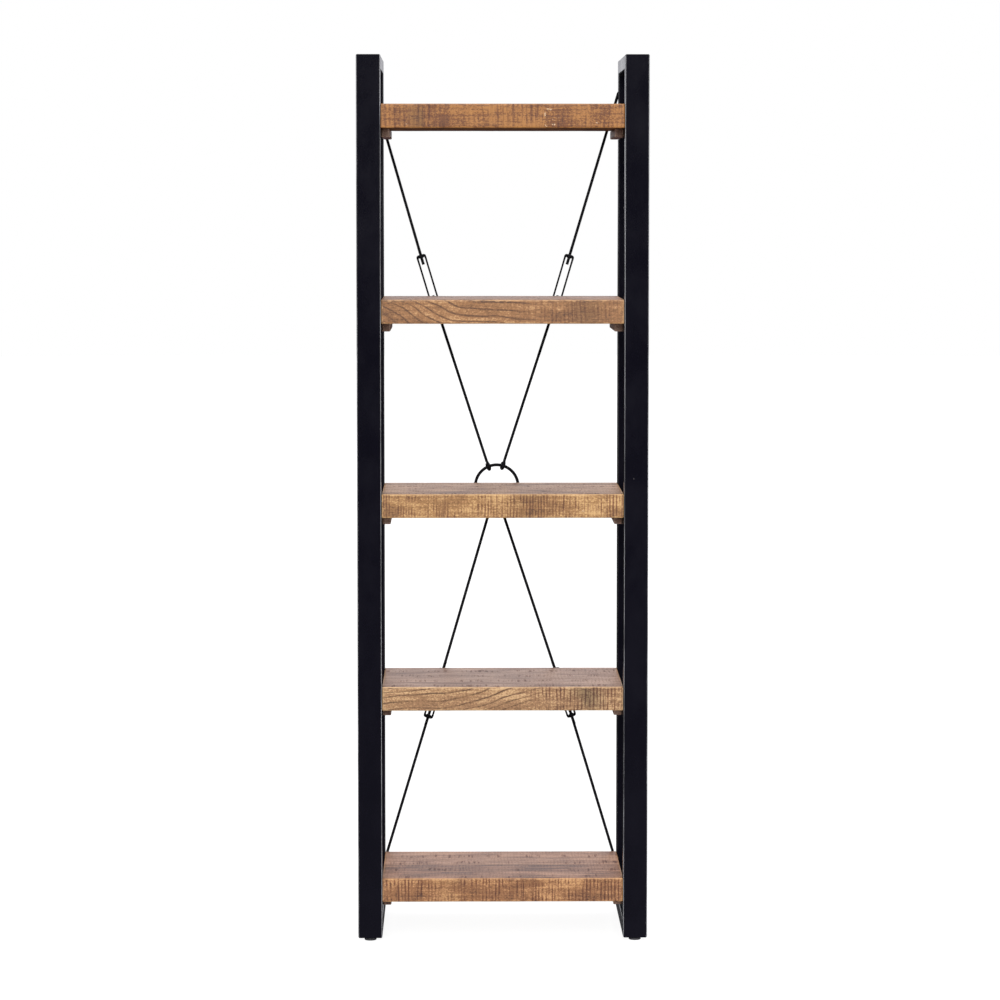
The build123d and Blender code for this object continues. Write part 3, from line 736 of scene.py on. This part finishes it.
ball = bench.node("GeometryNodeMeshUVSphere", {"Segments": 20, "Rings": 12, "Radius": 1.0}).outputs[0]
half_head = bench.math("MULTIPLY", takes["Head"], 0.5)
ball = moved(bench, ball, scale=bench.merge(half_head, half_head, takes["Tall"]))
below = bench.node("GeometryNodeMeshCube", {"Size": (0.02, 0.02, 0.01)}).outputs[0]
cutters = [moved(bench, below, (0, 0, -0.005))]
for size in ((0.0046, 0.0010, 0.0030), (0.0010, 0.0046, 0.0030)):
    blade = bench.node("GeometryNodeMeshCube", {"Size": size}).outputs[0]
    cutters.append(moved(bench, blade, (0, 0, HEAD_TALL)))
head = bench.node("GeometryNodeMeshBoolean", operation="DIFFERENCE", solver="EXACT")
bench.put(head.inputs["Mesh 1"], ball)
for cutter in cutters:
    bench.tree.links.new(cutter, head.inputs["Mesh 2"])
core_long = bench.math("SUBTRACT", takes["Long"], 0.003)
core = bench.node("GeometryNodeMeshCone", {"Vertices": 12, "Radius Top": 0.0008, "Radius Bottom": 0.0019})
bench.put(core.inputs["Depth"], takes["Long"])
core = moved(bench, core.outputs[0], turn=(math.pi, 0, 0))
coil = bench.node("GeometryNodeCurveSpiral", {"Resolution": 12, "Start Radius": 0.0011, "End Radius": 0.0020})
bench.put(coil.inputs["Height"], core_long)
bench.put(coil.inputs["Rotations"], bench.math("DIVIDE", core_long, takes["Pitch"]))
ridge = bench.node("GeometryNodeCurvePrimitiveCircle", {"Resolution": 3, "Radius": 0.00045}).outputs[0]
thread = bench.node(
    "GeometryNodeCurveToMesh", {"Curve": coil.outputs[0], "Profile Curve": ridge, "Fill Caps": True}
).outputs[0]
thread = moved(bench, thread, bench.merge(0.0, 0.0, bench.math("MULTIPLY", takes["Long"], -0.93)))
screw = joined(bench, head.outputs["Mesh"], core, thread)
outward = bench.node("GeometryNodeInputNamedAttribute", {"Name": "outward"}, data_type="FLOAT_VECTOR")
facing_out = bench.node("FunctionNodeAlignRotationToVector", {"Vector": outward.outputs[0]}, axis="Z")
spin = bench.node("FunctionNodeRandomValue", data_type="FLOAT")
bench.put(spin.inputs[3], math.pi)
bench.put(spin.inputs["Seed"], takes["Seed"])
spun = bench.node("FunctionNodeRotateRotation", {0: facing_out.outputs[0]}, rotation_space="LOCAL")
bench.put(spun.inputs[1], bench.merge(0.0, 0.0, spin.outputs[1]))
set_out = bench.node(
    "GeometryNodeInstanceOnPoints", {"Points": takes["Guide"], "Instance": screw, "Rotation": spun.outputs[0]}
)
finish_tree(bench, gives, set_out.outputs[0], takes["Finish"], smooth=False)


# %% Screws of every board
def screw_seats(node):
    """Seat and outward direction of each screw in a node, from its own points."""
    seats = {}
    for vertex in frame["nodes"][node].data.vertices:
        side = 1 if vertex.co.x > 0 else -1
        for key in seats:
            if key[0] == side and math.hypot(key[1] - vertex.co.y, key[2] - vertex.co.z) < 1.5 * HEAD_WIDE:
                break
        else:
            key = (side, vertex.co.y, vertex.co.z)
            seats[key] = []
        seats[key].append(vertex.co.copy())
    for (side, _, _), points in seats.items():
        low = [min(p[axis] for p in points) for axis in range(3)]
        high = [max(p[axis] for p in points) for axis in range(3)]
        seat_x = high[0] - HEAD_TALL if side > 0 else low[0] + HEAD_TALL
        yield Vector((seat_x, (low[1] + high[1]) / 2, (low[2] + high[2]) / 2)), (side, 0, 0)


for number, name in enumerate(SHELVES):
    node = f"{name}_screws"
    seats = list(screw_seats(node))
    guide = bpy.data.meshes.new(f"{node}_guide")
    guide.from_pydata([seat_at for seat_at, _ in seats], [], [])
    outward = guide.attributes.new("outward", "FLOAT_VECTOR", "POINT")
    outward.data.foreach_set("vector", [value for _, way in seats for value in way])
    screws = grow(
        f"{name}_pan_head_screws", screw_tree,
        {"Head": HEAD_WIDE, "Tall": HEAD_TALL, "Long": SCREW_LONG, "Pitch": SCREW_PITCH, "Seed": number,
         "Finish": zinc},
        shelf_body(name), (node,), guide,
    )
    print(screws.name, len(seats), "screws,", len(screws.data.polygons), "faces")

# %% [markdown]
# ## Turnbuckles
#
# A turnbuckle body is forged: two round bars run into a short barrel at each end, and the shoulders
# are swollen where the metal was pressed. Here each bar is a swept circle whose radius changes along
# the way and each barrel is a turned tube. A voxel remesh melts them into one skin and a light
# smoothing gives it the soft, slightly lumpy look of a forging. The bore stays open for the rods.

# %% Turnbuckle bodies
BARREL_HALF = 0.0040
BARREL = (
    # along the barrel from its middle, radius
    (-0.0040, 0.0033), (0.0040, 0.0033), (0.0042, 0.0043),
    (0.0024, 0.0052), (-0.0024, 0.0054), (-0.0042, 0.0045),
)
BAR_PATH = (
    # along the bar from its end, away from the middle line, radius
    (0.0030, 0.0042, 0.0022), (0.0024, 0.0062, 0.0025), (0.0036, 0.0078, 0.0026), (0.0068, 0.0085, 0.0024),
    (0.0110, 0.0086, 0.0021), (0.0250, 0.0085, 0.0020), (0.0400, 0.0085, 0.0020), (0.0565, 0.0085, 0.0020),
)
ROUND = 18  # corners of a bar or barrel
FORGE_VOXEL = 0.00055


def skin(shape, rings, closed):
    """Faces between neighbouring rings of points, and end caps if the run isn't closed."""
    loops = [[shape.verts.new(point) for point in ring] for ring in rings]
    pairs = list(zip(loops, loops[1:] + loops[:1])) if closed else list(zip(loops, loops[1:]))
    for first, second in pairs:
        for step in range(len(first)):
            after = (step + 1) % len(first)
            shape.faces.new((first[step], first[after], second[after], second[step]))
    if not closed:
        shape.faces.new(loops[0])
        shape.faces.new(loops[-1])


def ring(centre, normal, radius):
    """A ring of points round a centre, in the plane of a normal and the depth axis."""
    turns = [2 * math.pi * step / ROUND for step in range(ROUND)]
    return [centre + normal * (radius * math.cos(a)) + Vector((0, radius * math.sin(a), 0)) for a in turns]


def turnbuckle(name, middle, axis, long):
    """One forged body as a single skin, in place on its axis."""
    side = axis.cross(Vector((0, 1, 0)))
    shape = bmesh.new()
    for end in (-1, 1):
        centre = middle + axis * (end * (long / 2 - BARREL_HALF))
        rings = [ring(centre + axis * (end * along_axis), side, radius) for along_axis, radius in BARREL]
        skin(shape, rings, closed=True)
    for hand in (-1, 1):
        half_path = [(long / 2 - along_bar, away, radius) for along_bar, away, radius in BAR_PATH]
        path = half_path + [(-at, away, radius) for at, away, radius in half_path[-2::-1]]
        rings = []
        for place, (at, away, radius) in enumerate(path):
            before, after = path[max(place - 1, 0)], path[min(place + 1, len(path) - 1)]
            run = Vector((after[0] - before[0], after[1] - before[1])).normalized()
            normal = axis * -run.y + side * (hand * run.x)
            centre = middle + axis * at + side * (hand * away)
            rings.append(ring(centre, normal, radius))
        skin(shape, rings, closed=False)
    bmesh.ops.recalc_face_normals(shape, faces=shape.faces)
    mesh = bpy.data.meshes.new(name)
    shape.to_mesh(mesh)
    shape.free()
    piece = bpy.data.objects.new(name, mesh)
    scene.collection.objects.link(piece)
    melt = piece.modifiers.new("melt", "REMESH")
    melt.mode = "VOXEL"
    melt.voxel_size = FORGE_VOXEL
    melt.use_smooth_shade = True
    ease = piece.modifiers.new("ease", "SMOOTH")
    ease.factor = 0.5
    ease.iterations = 4
    piece.data = bpy.data.meshes.new_from_object(piece.evaluated_get(bpy.context.evaluated_depsgraph_get()))
    piece.modifiers.clear()
    piece.data.materials.clear()
    piece.data.materials.append(dip)
    return piece


joints = {joint["name"]: joint for joint in frame["record"]["behaviour"]["joints"]}
BODY_LONG = 0.113
RUNS = {}
for name in BRACES:
    joint = joints[f"{name}_turnbuckle_turn"]
    middle, axis = Vector(joint["pos_m"]), Vector(joint["axis"]).normalized()
    RUNS[name] = (middle, axis)
    body = turnbuckle(f"{name}_forged_turnbuckle", middle, axis, BODY_LONG)
    seat(body, f"{name}_turnbuckle", (f"{name}_turnbuckle",))
    print(body.name, len(body.data.polygons), "faces")

# %% [markdown]
# ## Threads on the rods
#
# The rods are threaded where they enter the turnbuckles, one left-handed and one right-handed, so
# turning the body draws both in. A thread is a small ridge that follows a helix: a spiral curve with
# a three-sided profile, turned to point along its rod. It stands proud of the rod by a third of a
# millimetre, so its crest bites about a tenth of a millimetre into the wall of the bore.

# %% Thread tree
thread_tree, bench, takes, gives = new_tree(
    "GeometryNodeTree", "rod thread",
    [("Start", VECTOR), ("Along", VECTOR), ("Length", FLOAT), ("Radius", FLOAT), ("Pitch", FLOAT),
     ("Left-handed", "NodeSocketBool"), ("Finish", FINISH)],
    [("Thread", SHAPE)],
)
coil = bench.node("GeometryNodeCurveSpiral", {"Resolution": 16})
for label in ("Start Radius", "End Radius"):
    bench.put(coil.inputs[label], takes["Radius"])
bench.put(coil.inputs["Height"], takes["Length"])
bench.put(coil.inputs["Rotations"], bench.math("DIVIDE", takes["Length"], takes["Pitch"]))
bench.put(coil.inputs["Reverse"], takes["Left-handed"])
ridge = bench.node("GeometryNodeCurvePrimitiveCircle", {"Resolution": 3, "Radius": 0.00040}).outputs[0]
thread = bench.node(
    "GeometryNodeCurveToMesh", {"Curve": coil.outputs[0], "Profile Curve": ridge, "Fill Caps": True}
)
turned = bench.node("FunctionNodeAlignRotationToVector", {"Vector": takes["Along"]}, axis="Z").outputs[0]
placed = moved(bench, thread.outputs[0], takes["Start"], turn=turned)
finish_tree(bench, gives, placed, takes["Finish"], smooth=False)

# %% Threads
THREAD_INSIDE, THREAD_OUTSIDE = 0.0220, 0.0160  # from the end of the body, inwards and outwards
THREAD_RADIUS, THREAD_PITCH = 0.00292, 0.001
for name, (middle, axis) in RUNS.items():
    for end, rod in ((-1, "post"), (1, "ring")):
        start = middle + axis * (end * (BODY_LONG / 2 + THREAD_OUTSIDE))
        grow(
            f"{name}_{rod}_rod_thread", thread_tree,
            {"Start": start, "Along": axis * -end, "Length": THREAD_INSIDE + THREAD_OUTSIDE,
             "Radius": THREAD_RADIUS, "Pitch": THREAD_PITCH, "Left-handed": end > 0, "Finish": dip},
            "frame",
        )
print("threads:", 2 * len(RUNS))

# %% [markdown]
# ## Weld beads
#
# The flat bars under the fixed boards and the inner corners of the side frames are welded and left as
# they came, because nobody looks there: a row of overlapping drops. The tree walks along each edge of
# a guide mesh and drops a slightly squashed ball every couple of millimetres, each a little different.

# %% Weld tree
weld_tree, bench, takes, gives = new_tree(
    "GeometryNodeTree", "weld beads",
    [("Guide", SHAPE), ("Pitch", FLOAT), ("Radius", FLOAT), ("Seed", COUNT), ("Finish", FINISH)],
    [("Beads", SHAPE)],
)
walk = bench.node("GeometryNodeMeshToCurve", {0: takes["Guide"]}).outputs[0]
walk = bench.node("GeometryNodeResampleCurve", {"Curve": walk, "Length": takes["Pitch"]}, mode="LENGTH")
drop = bench.node("GeometryNodeMeshIcoSphere", {"Radius": takes["Radius"], "Subdivisions": 2}).outputs[0]
vary = bench.node("FunctionNodeRandomValue", data_type="FLOAT_VECTOR")
bench.put(vary.inputs[0], (0.85, 0.85, 0.85))
bench.put(vary.inputs[1], (1.1, 1.1, 1.1))
bench.put(vary.inputs["Seed"], takes["Seed"])
drops = bench.node(
    "GeometryNodeInstanceOnPoints", {"Points": walk.outputs[0], "Instance": drop, "Scale": vary.outputs[0]}
)
finish_tree(bench, gives, drops.outputs[0], takes["Finish"])

# %% Weld beads
PROUD, CLEAR = 0.0006, 0.0004  # a seam beyond a corner, and outside a bar
seams = []
for side in SIDES:
    post_low, post_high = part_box(f"{side}_front_post")
    for rail, way in (("bottom", 1), ("top", -1)):
        rail_low, rail_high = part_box(f"{side}_{rail}_rail")
        level = rail_high.z + PROUD if way > 0 else rail_low.z - PROUD
        for end in (-1, 1):
            depth = end * (-post_high.y - PROUD)
            seams.append(((post_low.x + 0.004, depth, level), (post_high.x - 0.004, depth, level)))
    for name in ("bottom", "top"):
        bar_low, bar_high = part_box(f"{name}_{side}_bar")
        outer = bar_high.x + CLEAR if side == "right" else bar_low.x - CLEAR
        for depth in (bar_low.y + PROUD, bar_high.y - PROUD):
            seams.append(((outer, depth, bar_low.z + 0.003), (outer, depth, bar_high.z - 0.003)))
guide = bpy.data.meshes.new("weld_guide")
runs = [(2 * number, 2 * number + 1) for number in range(len(seams))]
guide.from_pydata([point for seam in seams for point in seam], runs, [])
welds = grow("frame_weld_beads", weld_tree, {"Pitch": 0.0017, "Radius": 0.0021, "Seed": 5, "Finish": paint},
             "frame", (), guide)
print("welds:", len(seams), "seams,", len(welds.data.polygons), "faces")
